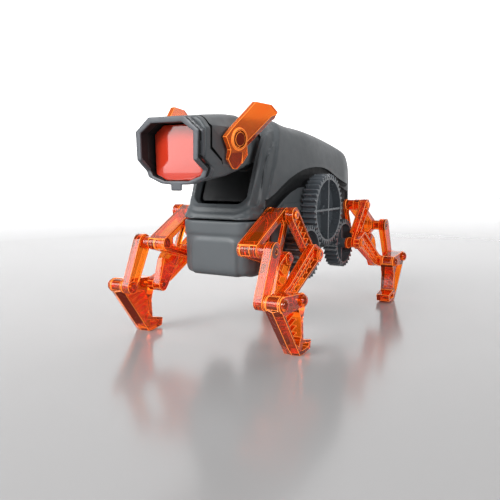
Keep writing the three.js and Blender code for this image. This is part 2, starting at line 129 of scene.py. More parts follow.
def area_light(name, place, target, size, power):
    data = bpy.data.lights.new(name, "AREA")
    data.shape = "RECTANGLE"
    data.size, data.size_y = size
    data.energy = power
    light = bpy.data.objects.new(name, data)
    COLLECTION.objects.link(light)
    light.location = place
    aim = Vector(target) - Vector(place)
    light.rotation_mode = "QUATERNION"
    light.rotation_quaternion = aim.to_track_quat("-Z", "Y")


def make_lights():
    world = bpy.data.worlds.new("studio")
    bpy.context.scene.world = world
    world.use_nodes = True
    background = world.node_tree.nodes["Background"]
    set_inputs(background, {"Color": (0.97, 0.98, 1.0, 1), "Strength": 0.2})
    centre = (0, 0, 0.08)
    area_light("key", (-0.3, -1.5, 0.98), centre, (0.75, 0.7), 26)
    area_light("left_panel", (-0.74, -1.4, 0.72), centre, (1.1, 0.8), 18)
    area_light("front_panel", (-0.56, -0.95, 0.204), (0.02, -0.1, 0.204), (0.66, 0.19), 0.9)
    area_light("top_panel", (0.25, 0.4, 0.95), centre, (0.7, 0.7), 1.5)
    area_light("side_panel", (1.05, -0.45, 0.3), centre, (0.4, 0.4), 4.8)
    bpy.context.scene.view_settings.view_transform = "Standard"


def make_backdrop():
    """A softly glowing pale wall behind the robot, square to the camera."""
    away = Vector((-math.sin(CAMERA_AZIMUTH), math.cos(CAMERA_AZIMUTH), 0))
    across = Vector((away.y, -away.x, 0))
    foot = away * BACKDROP_DISTANCE
    corners = []
    for side, height in ((-4, -0.3), (4, -0.3), (4, 3.0), (-4, 3.0)):
        corners.append(tuple(foot + across * side + Vector((0, 0, height))))
    mesh = bpy.data.meshes.new("backdrop")
    mesh.from_pydata(corners, [], [(0, 1, 2, 3)])
    wall = bpy.data.objects.new("backdrop", mesh)
    COLLECTION.objects.link(wall)
    material, tree, shader = new_material("backdrop_white")
    vary_roughness(tree, shader, add_noise(tree, 2), 0.8, 0.9)
    set_inputs(shader, {
        "Base Color": (0.8, 0.8, 0.8, 1), "Emission Color": (1, 1, 1, 1), "Emission Strength": 0.85,
    })
    mesh.materials.append(material)


def make_floor():
    bm = bmesh.new()
    bmesh.ops.create_grid(bm, x_segments=4, y_segments=4, size=3.0)
    mesh = bpy.data.meshes.new("floor")
    bm.to_mesh(mesh)
    bm.free()
    floor = bpy.data.objects.new("floor", mesh)
    COLLECTION.objects.link(floor)
    floor.location.z = cad_low.z - FLOOR_GAP
    floor.data.materials.append(floor_material())


# ------------------------------------------------------------------ materials

def new_material(name):
    material = bpy.data.materials.new(name)
    material.use_nodes = True
    tree = material.node_tree
    return material, tree, tree.nodes["Principled BSDF"]


def set_inputs(node, values):
    for socket, value in values.items():
        node.inputs[socket].default_value = value


def add_noise(tree, scale, detail=3.0):
    """A noise texture in object coordinates; scale is in cycles a metre."""
    coordinates = tree.nodes.new("ShaderNodeTexCoord")
    noise = tree.nodes.new("ShaderNodeTexNoise")
    set_inputs(noise, {"Scale": scale, "Detail": detail, "Roughness": 0.55})
    tree.links.new(coordinates.outputs["Object"], noise.inputs["Vector"])
    return noise.outputs["Fac"]


def vary_colour(tree, shader, factor, colours):
    ramp = tree.nodes.new("ShaderNodeValToRGB")
    for element, place, colour in zip(ramp.color_ramp.elements, (0.3, 0.7), colours):
        element.position = place
        element.color = (*colour, 1)
    tree.links.new(factor, ramp.inputs["Fac"])
    tree.links.new(ramp.outputs["Color"], shader.inputs["Base Color"])


def vary_roughness(tree, shader, factor, low, high):
    spread = tree.nodes.new("ShaderNodeMapRange")
    set_inputs(spread, {"From Min": 0.3, "From Max": 0.7, "To Min": low, "To Max": high})
    tree.links.new(factor, spread.inputs["Value"])
    tree.links.new(spread.outputs["Result"], shader.inputs["Roughness"])


def add_bump(tree, shader, factor, distance, strength):
    bump = tree.nodes.new("ShaderNodeBump")
    set_inputs(bump, {"Distance": distance, "Strength": strength})
    tree.links.new(factor, bump.inputs["Height"])
    tree.links.new(bump.outputs["Normal"], shader.inputs["Normal"])


def textured(name, colours, colour_scale, gloss, gloss_scale, bump):
    """A material whose colour, roughness and surface all vary a little.

    gloss is the lowest and highest roughness; bump is its scale, detail, distance and strength.
    """
    material, tree, shader = new_material(name)
    vary_colour(tree, shader, add_noise(tree, colour_scale), colours)
    vary_roughness(tree, shader, add_noise(tree, gloss_scale), *gloss)
    scale, detail, distance, strength = bump
    add_bump(tree, shader, add_noise(tree, scale, detail), distance, strength)
    return material, tree, shader


def grey_plastic(name, colours, roughness, shine=0.32, grain_depth=0.00004):
    """Satin moulded plastic: faint cloudiness, uneven gloss and a fine spark-eroded grain."""
    gloss = (roughness - 0.05, roughness + 0.06)
    material, _, shader = textured(name, colours, 28, gloss, 160, (2600, 2.0, grain_depth, 0.5))
    set_inputs(shader, {"Specular IOR Level": shine})
    return material


def orange_plastic(name, clearness, glow, roughness=0.03):
    """Clear tinted plastic: light passes through, and thick or stacked parts go deep red. Its emission is
    a faint painted glow, of strength glow.
    """
    colours = ((1.0, 0.19, 0.01), (1.0, 0.27, 0.025))
    gloss = (roughness, roughness + 0.04)
    material, tree, shader = textured(name, colours, 45, gloss, 240, (300, 1.0, 0.00004, 0.2))
    # Painted glow: a faint red emission, of strength glow.
    set_inputs(shader, {
        "IOR": 1.5, "Specular IOR Level": 0.42, "Transmission Weight": clearness,
        "Emission Color": (1.0, 0.1, 0.006, 1), "Emission Strength": glow,
    })
    absorb = tree.nodes.new("ShaderNodeVolumeAbsorption")
    set_inputs(absorb, {"Color": (0.72, 0.32, 0.02, 1), "Density": 150})
    tree.links.new(absorb.outputs["Volume"], tree.nodes["Material Output"].inputs["Volume"])
    return material


def painted_edge_glow_material():
    """The bright rims of the clear parts: a painted glow standing in for light piped along inside and
    coming out at the edges.
    """
    colours = ((0.9, 0.22, 0.03), (1.0, 0.3, 0.05))
    grain = (300, 1.0, 0.00005, 0.25)
    material, _, shader = textured("painted_edge_glow_orange", colours, 60, (0.25, 0.35), 240, grain)
    set_inputs(shader, {
        "Specular IOR Level": 0.1, "Emission Color": (1.0, 0.26, 0.05, 1), "Emission Strength": 0.45,
    })
    return material


def painted_shade_orange_material():
    """Painted shade for the clear plastic: an opaque near maroon, for where it looks dark through a long
    way of itself.
    """
    colours = ((0.13, 0.012, 0.004), (0.2, 0.02, 0.006))
    grain = (300, 1.0, 0.00004, 0.2)
    material, _, shader = textured("orange_painted_shade", colours, 60, (0.2, 0.3), 240, grain)
    set_inputs(shader, {"Specular IOR Level": 0.15})
    return material


def lens_material():
    """Deep red glossy plastic under a clear coat."""
    colours = ((0.45, 0.024, 0.008), (0.55, 0.04, 0.014))
    material, _, shader = textured("lens_red", colours, 22, (0.1, 0.16), 120, (90, 1.0, 0.00015, 0.2))
    set_inputs(shader, {"IOR": 1.6, "Coat Weight": 1.0, "Coat Roughness": 0.02, "Coat IOR": 1.6})
    return material


def steel_material():
    colours = ((0.42, 0.43, 0.45), (0.56, 0.57, 0.58))
    grain = (3000, 1.0, 0.00003, 0.4)
    material, _, shader = textured("turned_steel", colours, 300, (0.22, 0.38), 900, grain)
    set_inputs(shader, {"Metallic": 1.0})
    return material


def battery_material():
    colours = ((0.03, 0.12, 0.3), (0.05, 0.17, 0.38))
    grain = (500, 3.0, 0.00005, 0.3)
    material, _, shader = textured("battery_sleeve", colours, 60, (0.25, 0.4), 200, grain)
    set_inputs(shader, {"Metallic": 0.4})
    return material


def floor_material():
    """A smooth pale floor, lighter far away so that it meets the backdrop softly."""
    material, tree, shader = new_material("pale_floor")
    coordinates = tree.nodes.new("ShaderNodeTexCoord")
    distance = tree.nodes.new("ShaderNodeVectorMath")
    distance.operation = "LENGTH"
    tree.links.new(coordinates.outputs["Object"], distance.inputs[0])
    spread = tree.nodes.new("ShaderNodeMapRange")
    set_inputs(spread, {"From Min": 0.25, "From Max": 1.6})
    tree.links.new(distance.outputs["Value"], spread.inputs["Value"])
    vary_colour(tree, shader, spread.outputs["Result"], ((0.33, 0.325, 0.325), (0.88, 0.88, 0.89)))
    vary_roughness(tree, shader, add_noise(tree, 1.5), 0.15, 0.18)
    return material


SHELL = grey_plastic("shell_grey", ((0.074, 0.083, 0.089), (0.086, 0.096, 0.103)), 0.4)
BEZEL = grey_plastic("bezel_grey", ((0.07, 0.075, 0.084), (0.082, 0.088, 0.098)), 0.36)
GEAR_COLOURS = ((0.09, 0.103, 0.116), (0.107, 0.122, 0.138))
GEAR = grey_plastic("gear_grey", GEAR_COLOURS, 0.24, 0.6, 0.000012)
# Near black: painted shade in the body's gaps, the head's hollows and the bezel's groove, and the power
# switch's own colour.
PAINTED_SHADE_AND_SWITCH_BLACK = grey_plastic("painted_shade_and_switch_grey", ((0.005, 0.006, 0.007), (0.008, 0.009, 0.01)), 0.6)
ORANGE = orange_plastic("leg_orange", 0.93, 0.025)
EAR_ORANGE = orange_plastic("ear_orange", 0.7, 0.05, 0.22)
PAINTED_EDGE_GLOW = painted_edge_glow_material()
# Near maroon painted shade for the ear hubs and one facet of each foot.
PAINTED_SHADE_ORANGE = painted_shade_orange_material()
LENS = lens_material()
STEEL = steel_material()
BATTERY = battery_material()


# ------------------------------------------------------------------ fields and their surfaces

def polygon_field(points, a, b):
    """Signed distance to a closed outline in the plane, negative inside."""
    a, b = np.broadcast_arrays(a, b)
    nearest = np.full(a.shape, 1e9)
    inside = np.zeros(a.shape, bool)
    for (ax, ay), (bx, by) in zip(points, points[1:] + points[:1]):
        ex, ey = bx - ax, by - ay
        px, py = a - ax, b - ay
        along = np.clip((px * ex + py * ey) / (ex * ex + ey * ey), 0, 1)
        nearest = np.minimum(nearest, (px - along * ex) ** 2 + (py - along * ey) ** 2)
        if ay != by:
            crossing = (ay > b) != (by > b)
            inside ^= crossing & (a < (b - ay) * ex / ey + ax)
    return np.where(inside, -1.0, 1.0) * np.sqrt(nearest)


def soften(points, times):
    """Cuts an outline's corners, which rounds it more each time."""
    for _ in range(times):
        cut = []
        for (ax, ay), (bx, by) in zip(points, points[1:] + points[:1]):
            cut.append((ax * 0.75 + bx * 0.25, ay * 0.75 + by * 0.25))
            cut.append((ax * 0.25 + bx * 0.75, ay * 0.25 + by * 0.75))
        points = cut
    return points


def mirrored(half):
    """A closed outline from its right half, given as (x, z) from the top middle down."""
    return half + [(-x, z) for x, z in reversed(half)]


def smooth_max(a, b, k):
    h = np.maximum(k - np.abs(a - b), 0) / k
    return np.maximum(a, b) + h * h * k / 4


def smooth_min(a, b, k):
    return -smooth_max(-a, -b, k)


def step_up(value, start, width):
    """0 below start, 1 above start + width, eased between."""
    t = np.clip((value - start) / width, 0, 1)
    return t * t * (3 - 2 * t)


def rounded_box_field(a, b, half_a, low_b, high_b, radius):
    """Signed distance to a rectangle with round corners, centred in a."""
    mid_b, half_b = (low_b + high_b) / 2, (high_b - low_b) / 2
    da = np.abs(a) - (half_a - radius)
    db = np.abs(b - mid_b) - (half_b - radius)
    outside = np.hypot(np.maximum(da, 0), np.maximum(db, 0))
    return outside + np.minimum(np.maximum(da, db), 0) - radius


def axes(low, high, step):
    """Three broadcasting coordinate arrays over a box."""
    lines = [np.arange(a, b + step, step) for a, b in zip(low, high)]
    x = lines[0][:, None, None]
    y = lines[1][None, :, None]
    z = lines[2][None, None, :]
    return x, y, z


def surface(field, x, y, z):
    """Vertices and quads of a field's zero surface, one vertex in each crossed cell."""
    inside = field < 0
    shape = tuple(n - 1 for n in field.shape)
    total = np.zeros(shape + (3,))
    count = np.zeros(shape)
    starts = [x.ravel(), y.ravel(), z.ravel()]
    steps = [line[1] - line[0] for line in starts]
    corners = [(0, 0), (0, 1), (1, 0), (1, 1)]
    for axis in range(3):
        others = [n for n in range(3) if n != axis]
        for corner in corners:
            near = [slice(0, -1)] * 3
            far = [slice(0, -1)] * 3
            near[axis], far[axis] = slice(0, -1), slice(1, None)
            for other, offset in zip(others, corner):
                near[other] = far[other] = slice(offset, offset + shape[other])
            a, b = field[tuple(near)], field[tuple(far)]
            crossed = (a < 0) != (b < 0)
            share = np.where(crossed, a / np.where(crossed, a - b, 1), 0)
            total[..., axis] += np.where(crossed, share, 0)
            for other, offset in zip(others, corner):
                total[..., other] += np.where(crossed, offset, 0)
            count += crossed
    active = count > 0
    number = -np.ones(shape, int)
    number[active] = np.arange(active.sum())
    cells = np.argwhere(active)
    local = total[active] / count[active][:, None]
    vertices = np.empty(local.shape)
    for axis in range(3):
        vertices[:, axis] = starts[axis][0] + (cells[:, axis] + local[:, axis]) * steps[axis]
    quads = []
    for axis in range(3):
        b_axis, c_axis = (axis + 1) % 3, (axis + 2) % 3
        near = [slice(None)] * 3
        far = [slice(None)] * 3
        near[axis], far[axis] = slice(0, -1), slice(1, None)
        for other in (b_axis, c_axis):
            near[other] = far[other] = slice(1, -1)
        a, b = inside[tuple(near)], inside[tuple(far)]
        found = np.argwhere(a != b)
        outward = a[tuple(found.T)]
        place = found.copy()
        place[:, b_axis] += 1
        place[:, c_axis] += 1
        ring = []
        for db, dc in ((-1, -1), (0, -1), (0, 0), (-1, 0)):
            cell = place.copy()
            cell[:, b_axis] += db
            cell[:, c_axis] += dc
            ring.append(number[tuple(cell.T)])
        ring = np.stack(ring, 1)
        ring[~outward] = ring[~outward][:, ::-1]
        quads.append(ring)
    return vertices, np.concatenate(quads)


# ------------------------------------------------------------------ mesh pieces

def to_frame(points):
    """Millimetres of the model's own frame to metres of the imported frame."""
    return [(x * MM, (y + SHIFT) * MM, z * MM) for x, y, z in points]


def mesh_object(name, points, faces):
    mesh = bpy.data.meshes.new(name)
    mesh.from_pydata(to_frame(points), [], faces)
    mesh.validate()
    thing = bpy.data.objects.new(name, mesh)
    COLLECTION.objects.link(thing)
    return thing


def field_object(name, field, x, y, z, passes=0):
    """A closed mesh on the field's zero surface, relaxed a few times where it should flow."""
    vertices, quads = surface(field, x, y, z)
    starts = quads.ravel()
    ends = np.roll(quads, -1, axis=1).ravel()
    shared = np.bincount(np.concatenate((starts, ends)), minlength=len(vertices))
    for _ in range(passes):
        total = np.zeros_like(vertices)
        np.add.at(total, starts, vertices[ends])
        np.add.at(total, ends, vertices[starts])
        vertices = vertices * 0.45 + total / shared[:, None] * 0.55
    return mesh_object(name, vertices.tolist(), quads.tolist())


def discard(thing):
    """Removes an object and its mesh."""
    mesh = thing.data
    bpy.data.objects.remove(thing)
    bpy.data.meshes.remove(mesh)


def face_outwards(thing):
    bm = bmesh.new()
    bm.from_mesh(thing.data)
    bmesh.ops.recalc_face_normals(bm, faces=bm.faces)
    bm.to_mesh(thing.data)
    bm.free()
    return thing


def weigh_normals(thing):
    """Shades flat faces flat, with only their bevels turning the light."""
    modifier = thing.modifiers.new("normals", "WEIGHTED_NORMAL")
    modifier.keep_sharp = False


def shade(thing, angle):
    thing.data.shade_smooth()
    thing.data.set_sharp_from_angle(angle=math.radians(angle))


def finish_piece(thing, material, body, slot, *nodes):
    """Gives a piece its material, and says what it rides on and stands for."""
    faces = thing.data.polygons
    slots = np.zeros(len(faces), np.int32)
    if material in (ORANGE, EAR_ORANGE):
        faces.foreach_get("material_index", slots)
    thing.data.materials.clear()
    thing.data.materials.append(material)
    # The clear parts' bevels get the painted edge glow as their second material.
    if material in (ORANGE, EAR_ORANGE):
        thing.data.materials.append(PAINTED_EDGE_GLOW)
    faces.foreach_set("material_index", slots)
    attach(thing, body)
    if nodes:
        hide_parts(*nodes)
    return thing


def paint(thing, material, chosen):
    """Gives a second material to the faces whose middles, in the model's own frame, are chosen."""
    faces = thing.data.polygons
    middles = np.empty(len(faces) * 3)
    faces.foreach_get("center", middles)
    x, y, z = middles.reshape(-1, 3).T / MM
    slots = chosen(x, y - SHIFT, z).astype(np.int32)
    thing.data.materials.append(material)
    faces.foreach_set("material_index", slots * (len(thing.data.materials) - 1))
    return thing


def bake_modifiers(thing):
    """Replaces a mesh by what its modifiers make of it."""
    graph = bpy.context.evaluated_depsgraph_get()
    made = bpy.data.meshes.new_from_object(thing.evaluated_get(graph))
    thing.modifiers.clear()
    old = thing.data
    thing.data = made
    made.name = old.name
    bpy.data.meshes.remove(old)


def combine(base, tools, operation):
    """Joins or cuts closed meshes, and removes the tools."""
    for tool in tools:
        modifier = base.modifiers.new("combine", "BOOLEAN")
        modifier.object = tool
        modifier.operation = operation
        modifier.solver = "MANIFOLD"
        bake_modifiers(base)
        discard(tool)
    return base


def join(base, *tools):
    return combine(base, tools, "UNION")


def cut(base, *tools):
    return combine(base, tools, "DIFFERENCE")


def keep(base, tool):
    return combine(base, [tool], "INTERSECT")


def gather(*things):
    """Puts meshes that don't touch each other into one mesh."""
    points, faces = [], []
    for thing in things:
        start = len(points)
        points.extend(tuple(v.co) for v in thing.data.vertices)
        faces.extend([start + i for i in face.vertices] for face in thing.data.polygons)
        discard(thing)
    mesh = bpy.data.meshes.new("gathered")
    mesh.from_pydata(points, [], faces)
    gathered = bpy.data.objects.new("gathered", mesh)
    COLLECTION.objects.link(gathered)
    return gathered


def copy_of(thing, name):
    twin = bpy.data.objects.new(name, thing.data.copy())
    COLLECTION.objects.link(twin)
    return twin


def loft(name, rings):
    """A closed mesh through rings of (x, y, z) points with the same count, capped at both ends."""
    count = len(rings[0])
    points = [p for ring in rings for p in ring]
    faces = [list(range(count))[::-1]]
    for level in range(len(rings) - 1):
        a, b = level * count, (level + 1) * count
        for i in range(count):
            j = (i + 1) % count
            faces.append([a + i, a + j, b + j, b + i])
    last = (len(rings) - 1) * count
    faces.append([last + i for i in range(count)])
    return face_outwards(mesh_object(name, points, faces))


def slab(outline, x_range, name="slab"):
    """A (y, z) outline pushed along X."""
    rings = [[(x, y, z) for y, z in outline] for x in x_range]
    return loft(name, rings)


def front_slab(outline, y_range):
    """An (x, z) outline pushed along Y."""
    rings = [[(x, y, z) for x, z in outline] for y in y_range]
    return loft("front_slab", rings)


def block(x_range, y_range, z_range):
    y_low, y_high = y_range
    z_low, z_high = z_range
    outline = [(y_low, z_low), (y_high, z_low), (y_high, z_high), (y_low, z_high)]
    return slab(outline, x_range, "block")


def sided(side, near, far):
    """The X range from near to far on one side of the robot, low end first."""
    return sorted((side * near, side * far))


def ring_points(centre, radius, sides=28):
    y, z = centre
    turns = [2 * math.pi * i / sides for i in range(sides)]
    return [(y + radius * math.cos(t), z + radius * math.sin(t)) for t in turns]


def turned(centre, profile, name="turned", sides=28):
    """A body of revolution about X: profile is (x, radius) from one end to the other."""
    rings = [[(x, y, z) for y, z in ring_points(centre, radius, sides)] for x, radius in profile]
    return loft(name, rings)


def rod(centre, radius, x_range, sides=28):
    return turned(centre, [(x, radius) for x in x_range], "rod", sides)


def arc(centre, radius, start, end, steps):
    y, z = centre
    turns = [start + (end - start) * i / steps for i in range(steps + 1)]
    return [(y + radius * math.cos(t), z + radius * math.sin(t)) for t in turns]


def link_outline(a, radius_a, b, radius_b, steps=10):
    """The outline around two circles and their common tangents."""
    length = math.hypot(b[0] - a[0], b[1] - a[1])
    along = math.atan2(b[1] - a[1], b[0] - a[0])
    lean = math.acos((radius_a - radius_b) / length)
    first = arc(a, radius_a, along + lean, along + 2 * math.pi - lean, steps)
    second = arc(b, radius_b, along - lean, along + lean, steps)
    return first + second


def bevel_edges(thing, width):
    """Rounds the sharp edges, after flat faces are made whole again.

    The rounded strips get the second material, which on the clear parts is the painted edge glow.
    A corner that the bevel throws outside the shape goes back onto it.
    """
    bm = bmesh.new()
    bm.from_mesh(thing.data)
    bmesh.ops.remove_doubles(bm, verts=bm.verts, dist=WELD_DISTANCE)
    bmesh.ops.dissolve_limit(
        bm, angle_limit=math.radians(1), verts=bm.verts, edges=bm.edges, use_dissolve_boundaries=False
    )
    bm.normal_update()
    for face in bm.faces:
        face.material_index = 0
    before = BVHTree.FromBMesh(bm)
    sharp = [
        e for e in bm.edges
        if e.is_manifold and e.calc_face_angle(0) > SHARP_ANGLE and e.calc_length() > 2 * width * MM
    ]
    bmesh.ops.bevel(
        bm, geom=sharp, offset=width * MM, offset_type="OFFSET", segments=2,
        profile=0.6, affect="EDGES", clamp_overlap=False, loop_slide=True, material=1,
    )
    for vertex in bm.verts:
        place, _, _, distance = before.find_nearest(vertex.co)
        if distance > 0.8 * width * MM:
            vertex.co = place
    bmesh.ops.recalc_face_normals(bm, faces=bm.faces)
    bm.to_mesh(thing.data)
    bm.free()
    return thing


def mirror_copy(thing, name, flip_x, flip_y):
    """A copy reflected in the robot's middle plane, the crank axles' middle plane, or both."""
    twin = copy_of(thing, name)
    scale_x = -1 if flip_x else 1
    scale_y = -1 if flip_y else 1
    centre = SHIFT * MM
    for vertex in twin.data.vertices:
        vertex.co.x *= scale_x
        vertex.co.y = centre + (vertex.co.y - centre) * scale_y
    if scale_x * scale_y < 0:
        twin.data.flip_normals()
    return twin


# ------------------------------------------------------------------ body

BODY_HALF = 27.2
FENDER_HALF = 31.0
WALL = 2.2
CHEST_SEAM = 79.4
CHEST_BACK = -62.0
SEAM = 0.3
BODY_STEP = 0.9
# The X of the faces beside the wheels: the arch's, the gap's floor, the panel's two, the plate's.
ARCH_FACE = 27.6
GAP_FACE = 25.7
PANEL_BACK = 25.5
PANEL_FACE = 29.0
PLATE_FACE = 30.2
BEYOND = 45
ACROSS = (-40, 40)
WHEEL_BOSS = 23
AXLE_BORE = 3.1
HIP_BORE = 2.1

# The collar's leaning front plane: its foot (y, z), the direction up it, and the opening in it.
COLLAR_FOOT = (-91.5, 87)
COLLAR_UP = (0.3948, 0.9188)
OPENING_HALF = 20.3
OPENING_LOW = 5.2
OPENING_HIGH = 57
OPENING_ROUND = 7
SLEEVE_FRONT = -1
SLEEVE_BACK = 14

BODY_SIDE = [
    (-60, 42.6), (-85, 42.6), (-90, 43.6), (-92.6, 46.6), (-93.5, 52), (-93.5, 79), (-91.5, 87),
    (-78.5, 117), (-65.5, 147.5),
    (-61, 150.5), (-47, 149.5), (-32, 143.2), (0, 141.5), (25, 139.3), (46, 136.6), (68, 131),
    (79, 125), (83.5, 112), (86, 84), (85, 66), (80, 54), (68, 50), (0, 50), (-48, 50),
]
FENDER_SIDE = [
    (-88, 90), (-66, 149), (-47, 150), (-32, 143), (0, 141.5), (46, 136.6), (68, 131), (79, 125),
    (86, 104), (86, 96), (58, 96), (36, 104), (14, 107), (-4, 106.6), (-20, 104), (-34, 96), (-58, 84),
    (-72, 84),
]
# Everything outside the core below this line is cut from the fenders, over the wheels.
UNDER_ARCH = [
    (-94, 20), (-94, 84.5), (-82, 88.2), (-74.5, 91.2), (-60, 96.6), (-50.8, 101), (-40, 105.6),
    (-28, 109.4), (-18, 111.8), (-8, 113.2), (4, 113.9), (15.7, 113.7), (26, 112), (35.7, 109.2),
    (46, 105.8), (57.2, 102.6), (95, 95), (95, 20),
]
# The right half of the back's arched cross-section.
ARCH = [(8, 153), (15, 149.5), (22.5, 141), (27.5, 131), (30.5, 119), (31, 104), (31, 10)]


def rear_drop(y):
    """How much lower the arched cross-section sits towards the tail."""
    return 10.5 * step_up(y, -15, 80)


def leaning(y, z):
    """How far up the collar's leaning front plane a point is."""
    return (y - COLLAR_FOOT[0]) * COLLAR_UP[0] + (z - COLLAR_FOOT[1]) * COLLAR_UP[1]


def behind_collar(y, z):
    """How far behind the collar's leaning front plane a point is."""
    return (y - COLLAR_FOOT[0]) * COLLAR_UP[1] - (z - COLLAR_FOOT[1]) * COLLAR_UP[0]


def collar_reach(x, y, z):
    """How far outside the collar's opening a point is, counting depth behind it as well."""
    depth = np.maximum(behind_collar(y, z), 0)
    around = rounded_box_field(x, leaning(y, z), OPENING_HALF, OPENING_LOW, 130, OPENING_ROUND)
    return np.maximum(around, -3) + 0.2 * depth + 14 * step_up(depth, 16, 12)


def body_field(x, y, z):
    """The core's skin with its collar and chest, the skin with fenders, and the collar's opening."""
    side = polygon_field(soften(BODY_SIDE, 2), y, z)
    plan = rounded_box_field(x, y, BODY_HALF, -93.5, 86, 12.5)
    arch = polygon_field(soften(mirrored(ARCH), 2), x, z + rear_drop(y))
    core = smooth_max(smooth_max(side, plan, 5), arch, 9)
    opening = rounded_box_field(
        x, leaning(y, z), OPENING_HALF, OPENING_LOW, OPENING_HIGH, OPENING_ROUND
    )
    # The collar is sunk in three steps, deepest at its opening.
    reach = collar_reach(x, y, z)
    sunk = 1.1 * (1 - step_up(reach, 2.8, 0.9)) + 1.3 * (1 - step_up(reach, 7.3, 1.2))
    sunk = sunk + 1.2 * (1 - step_up(reach, 11.2, 1.0)) * step_up(leaning(y, z), -9, 3)
    # The chest is sunk below its top band, except for a raised panel at its front.
    panel = rounded_box_field(x, z, 17.5, 30, 67.5, 6)
    chest_front = step_up(-y, 80, 6) * (1 - step_up(z, 69.4, 1.6))
    sunk = sunk + 0.9 * chest_front * step_up(panel, -0.9, 2.2)
    fender_side = polygon_field(soften(FENDER_SIDE, 2), y, z)
    fender_plan = rounded_box_field(x, y, FENDER_HALF, -93, 86, 26)
    fender = smooth_max(smooth_max(fender_side, fender_plan, 2.5), arch, 9)
    # A low bead runs along the arch's edge.
    edge = np.abs(polygon_field(UNDER_ARCH, y, z))
    fender = fender - 0.35 * (1 - step_up(edge, 0.8, 1.2)) * step_up(np.abs(x), 26, 2)
    return core + sunk, smooth_min(core, fender, 1.2) + sunk, opening


# The gap between the arch and the lower panel, which gets painted shade.
GAP = [
    (-72, 87), (-61, 91), (-49.5, 96), (-40, 100.6), (-28, 105), (-14, 108), (2, 108.4), (18, 107.6),
    (34, 104), (50, 99.6), (74, 94), (74, 84), (-13.3, 98), (-26.5, 97), (-39.1, 94), (-49.5, 89.6),
    (-61, 83.5), (-71, 81),
]
# The lit lower panel under the fender's arch, and the round-cornered plate on it.
LEDGE = [
    (-66, 55), (-68, 82.5), (-61, 85.3), (-49.5, 91.4), (-39.1, 95.8), (-26.5, 99), (-13.3, 99.8),
    (0, 99), (0, 55),
]
SIDE_PLATE = [
    (-64, 74), (-62, 82.5), (-50, 88.6), (-28.6, 88.7), (-19.5, 87), (-13, 84.5), (-8.6, 81.2),
    (-6.8, 78), (-8, 75.6), (-11, 74),
]
# The openings in the belly for the battery and the switch, as X and Y ranges.
BELLY_HOLES = [((-21.3, -2.7), (-28.3, 28.3)), ((9.2, 14.8), (-3.3, 7.3))]
BELLY = (45, 54)


def build_body():
    low = (-FENDER_HALF - 2.5, -97, 40)
    high = (FENDER_HALF + 2.5, 91.5, 153)
    x, y, z = axes(low, high, BODY_STEP)
    core, skin, opening = body_field(x, y, z)
    neck_hole = np.maximum(opening, y + 50)
    shell = np.maximum(np.maximum(skin, -core - WALL), -neck_hole)
    depth = behind_collar(y, z)
    sleeve = np.abs(opening - WALL / 2) - WALL / 2
    sleeve = np.maximum(sleeve, np.maximum(SLEEVE_FRONT - depth, depth - SLEEVE_BACK))
    shell = np.minimum(shell, np.maximum(sleeve, skin))
    chest_box = np.maximum(z - CHEST_SEAM, y - CHEST_BACK)
    build_chest(smooth_max(shell, chest_box, 1.0), x, y, z)
    above_chest = np.maximum(z - (CHEST_SEAM + SEAM), y - (CHEST_BACK + SEAM))
    build_back(smooth_max(shell, -above_chest, 0.7), x, y, z)


def build_chest(field, x, y, z):
    cover = field_object("chest_cover_skin", field, x, y, z, 2)
    cut(cover, hip_bore(-1))
    shade(cover, 50)
    finish_piece(cover, SHELL, "chassis", "shell_plastic", "chest_cover")


def build_back(field, x, y, z):
    """The two body shells: one skin with its arches, gaps, panels and holes, cut down the middle."""
    whole = field_object("body_skin", field, x, y, z, 3)
    arches, gaps, panels = [], [], []
    for side in (-1, 1):
        arches.append(slab(UNDER_ARCH, sided(side, ARCH_FACE, BEYOND)))
        gaps.append(slab(GAP, sided(side, GAP_FACE, BEYOND)))
        panel = slab(LEDGE, sided(side, PANEL_BACK, PANEL_FACE))
        join(panel, slab(SIDE_PLATE, sided(side, PANEL_FACE - 1, PLATE_FACE)))
        boss = rod((0, AXLE_HEIGHT), WHEEL_BOSS, sided(side, PANEL_BACK, PLATE_FACE), 48)
        panels.append(join(panel, boss))
    cut(whole, gather(*arches))
    cut(whole, gather(*gaps))
    join(whole, gather(*panels))
    bores = [rod(centre, AXLE_BORE, ACROSS) for centre in ((-CRANK[0], CRANK[1]), CRANK, (0, AXLE_HEIGHT))]
    bores.append(hip_bore(1))
    bores.extend(block(x_range, y_range, BELLY) for x_range, y_range in BELLY_HOLES)
    cut(whole, gather(*bores))
    for piece, side, name in ((copy_of(whole, "whole"), -1, "left"), (whole, 1, "right")):
        piece.name = f"{name}_body_skin"
        cut(piece, block(sided(side, -0.05, 50), (-120, 120), (20, 180)))
        shade(piece, 50)
        finish_piece(piece, SHELL, "chassis", "shell_plastic", f"{name}_body_shell")
        # Painted shade: near black deep in the gap under the arch and on the arch's underside.
        paint(piece, PAINTED_SHADE_AND_SWITCH_BLACK, painted_shade_in_gap)


def painted_shade_in_gap(x, y, z):
    """Picks the faces that get painted shade: deep in the gap under the arch, and the arch's underside."""
    sunk = (polygon_field(GAP, y, z) < 0.3) & (np.abs(x) > 24) & (np.abs(x) < 28.8)
    under = (np.abs(polygon_field(UNDER_ARCH, y, z)) < 0.12) & (np.abs(x) > 27.5)
    return sunk | under


def hip_bore(end):
    """The hip shaft's hole at the front (-1) or rear (1) end."""
    return rod((end * abs(HIP[0]), HIP[1]), HIP_BORE, ACROSS)


# ------------------------------------------------------------------ head

NOSE = -138.5
JOG = 8.7
BEZEL_DEPTH = 7.2
HEAD_STEP = 0.7

